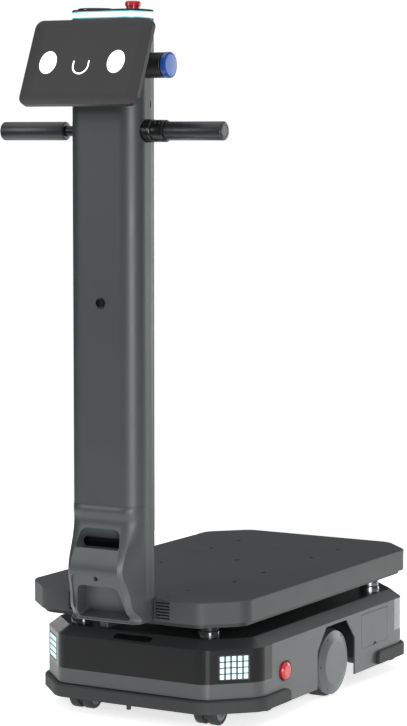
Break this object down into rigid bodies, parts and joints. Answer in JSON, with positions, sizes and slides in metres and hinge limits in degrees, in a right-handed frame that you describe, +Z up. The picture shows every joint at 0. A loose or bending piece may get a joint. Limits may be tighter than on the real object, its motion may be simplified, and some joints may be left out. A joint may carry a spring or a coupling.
{
  "type": "autonomous mobile robot",
  "caption": "Low wheeled delivery robot with a flat load platform on posts, a tall front column with side handles, a tilted touch screen, light panels, bumpers and emergency stops.",
  "frame": {"origin": "on the floor, under the centre of the overall box", "axes": "+Z up; -Y is the front, where the column and the screen are; +X is the side with the blue button and the service flap"},
  "size_m": [0.49, 0.9491, 1.3405],
  "materials": {
    "body_grey": "satin moulded",
    "column_grey": "satin moulded",
    "cover_grey": "satin moulded",
    "gloss_black": "gloss",
    "smoke_grey": "gloss",
    "bumper_rubber": "matt",
    "light_white": "frosted",
    "post_chrome": "polished",
    "frame_steel": "powder coated",
    "platform_alloy": "powder coated",
    "plain_steel": "brushed",
    "wheel_alloy": "painted",
    "tyre_rubber": "matt",
    "caster_rubber": "matt",
    "black_plastic": "fine texture",
    "stop_red": "gloss",
    "button_blue": "satin",
    "screen_dark": "gloss"
  },
  "bodies": {
    "robot": {"base_shell": "body_grey", "deck_cover": "gloss_black", "front_panel": "gloss_black", "rear_panel": "smoke_grey", "corner_lights": "light_white", "front_camera": "gloss_black", "chassis_frame": "frame_steel", "wheel_liners": "black_plastic", "hub_motors": "plain_steel", "battery_pack": "black_plastic", "controller_box": "wheel_alloy", "floor_sensors": "black_plastic", "cable_duct": "body_grey", "support_posts": "post_chrome", "platform_plate": "platform_alloy", "platform_underplate": "platform_alloy", "platform_fixings": "plain_steel", "front_grilles": "black_plastic", "column_bracket": "frame_steel", "column_spine": "frame_steel", "column_front": "column_grey", "column_rear": "cover_grey", "column_foot": "column_grey", "column_plug": "plain_steel", "foot_sensors": "gloss_black", "handle_bar": "plain_steel", "handle_grips": "black_plastic", "handle_clamp": "black_plastic", "button_tube": "black_plastic", "screen_housing": "black_plastic", "screen_glass": "screen_dark", "display_panel": "screen_dark", "light_band": "light_white", "head_lid": "black_plastic", "ceiling_camera": "gloss_black", "stop_cups": "black_plastic", "service_niche": "black_plastic", "hinge_pin": "plain_steel", "charge_inlet": "black_plastic", "caster_mounts": "frame_steel"},
    "front_bumper": {"front_bumper": "bumper_rubber"},
    "rear_bumper": {"rear_bumper": "bumper_rubber"},
    "stop_top": {"stop_head_top": "stop_red"},
    "stop_right": {"stop_head_right": "stop_red"},
    "stop_left": {"stop_head_left": "stop_red"},
    "button": {"button_cap": "button_blue"},
    "power_button": {"power_button": "stop_red"},
    "service_flap": {"service_flap": "body_grey"},
    "drive_right": {"drive_wheel_right": "wheel_alloy", "tyre_right": "tyre_rubber"},
    "drive_left": {"drive_wheel_left": "wheel_alloy", "tyre_left": "tyre_rubber"},
    "fork_front_left": {"caster_fork_front_left": "frame_steel"},
    "wheels_front_left": {"caster_wheels_front_left": "caster_rubber"},
    "fork_front_right": {"caster_fork_front_right": "frame_steel"},
    "wheels_front_right": {"caster_wheels_front_right": "caster_rubber"},
    "fork_rear_left": {"caster_fork_rear_left": "frame_steel"},
    "wheels_rear_left": {"caster_wheels_rear_left": "caster_rubber"},
    "fork_rear_right": {"caster_fork_rear_right": "frame_steel"},
    "wheels_rear_right": {"caster_wheels_rear_right": "caster_rubber"}
  },
  "joints": [
    {"name": "front_bumper_press", "type": "slide", "parent": "robot", "child": "front_bumper", "axis": [0, 1, 0], "range_m": [0, 0.005], "stiffness_N_per_m": 2500, "springref_m": -0.002},
    {"name": "rear_bumper_press", "type": "slide", "parent": "robot", "child": "rear_bumper", "axis": [0, -1, 0], "range_m": [0, 0.005], "stiffness_N_per_m": 2500, "springref_m": -0.002},
    {"name": "stop_top_press", "type": "slide", "parent": "robot", "child": "stop_top", "axis": [0, 0, -1], "range_m": [0, 0.004], "stiffness_N_per_m": 2500, "springref_m": -0.002},
    {"name": "stop_right_press", "type": "slide", "parent": "robot", "child": "stop_right", "axis": [-1, 0, 0], "range_m": [0, 0.004], "stiffness_N_per_m": 2500, "springref_m": -0.002},
    {"name": "stop_left_press", "type": "slide", "parent": "robot", "child": "stop_left", "axis": [1, 0, 0], "range_m": [0, 0.004], "stiffness_N_per_m": 2500, "springref_m": -0.002},
    {"name": "button_press", "type": "slide", "parent": "robot", "child": "button", "axis": [-1, 0, 0], "range_m": [0, 0.0022], "stiffness_N_per_m": 2000, "springref_m": -0.001},
    {"name": "power_button_press", "type": "slide", "parent": "robot", "child": "power_button", "axis": [-1, 0, 0], "range_m": [0, 0.002], "stiffness_N_per_m": 1500, "springref_m": -0.001},
    {"name": "service_flap_hinge", "type": "hinge", "parent": "robot", "child": "service_flap", "pos_m": [0.234, 0.259, 0.1399], "axis": [0, -1, 0], "range_deg": [0, 95]},
    {"name": "drive_wheel_right_spin", "type": "hinge", "parent": "robot", "child": "drive_right", "pos_m": [0.203, 0.091, 0.0675], "axis": [1, 0, 0], "continuous": true},
    {"name": "drive_wheel_left_spin", "type": "hinge", "parent": "robot", "child": "drive_left", "pos_m": [-0.203, 0.091, 0.0675], "axis": [1, 0, 0], "continuous": true},
    {"name": "caster_front_left_swivel", "type": "hinge", "parent": "robot", "child": "fork_front_left", "pos_m": [-0.1385, -0.22, 0.055], "axis": [0, 0, 1], "continuous": true},
    {"name": "caster_front_left_roll", "type": "hinge", "parent": "fork_front_left", "child": "wheels_front_left", "pos_m": [-0.1385, -0.233, 0.025], "axis": [1, 0, 0], "continuous": true},
    {"name": "caster_front_right_swivel", "type": "hinge", "parent": "robot", "child": "fork_front_right", "pos_m": [0.1385, -0.22, 0.055], "axis": [0, 0, 1], "continuous": true},
    {"name": "caster_front_right_roll", "type": "hinge", "parent": "fork_front_right", "child": "wheels_front_right", "pos_m": [0.1385, -0.233, 0.025], "axis": [1, 0, 0], "continuous": true},
    {"name": "caster_rear_left_swivel", "type": "hinge", "parent": "robot", "child": "fork_rear_left", "pos_m": [-0.1385, 0.403, 0.055], "axis": [0, 0, 1], "continuous": true},
    {"name": "caster_rear_left_roll", "type": "hinge", "parent": "fork_rear_left", "child": "wheels_rear_left", "pos_m": [-0.1385, 0.39, 0.025], "axis": [1, 0, 0], "continuous": true},
    {"name": "caster_rear_right_swivel", "type": "hinge", "parent": "robot", "child": "fork_rear_right", "pos_m": [0.1385, 0.403, 0.055], "axis": [0, 0, 1], "continuous": true},
    {"name": "caster_rear_right_roll", "type": "hinge", "parent": "fork_rear_right", "child": "wheels_rear_right", "pos_m": [0.1385, 0.39, 0.025], "axis": [1, 0, 0], "continuous": true}
  ]
}
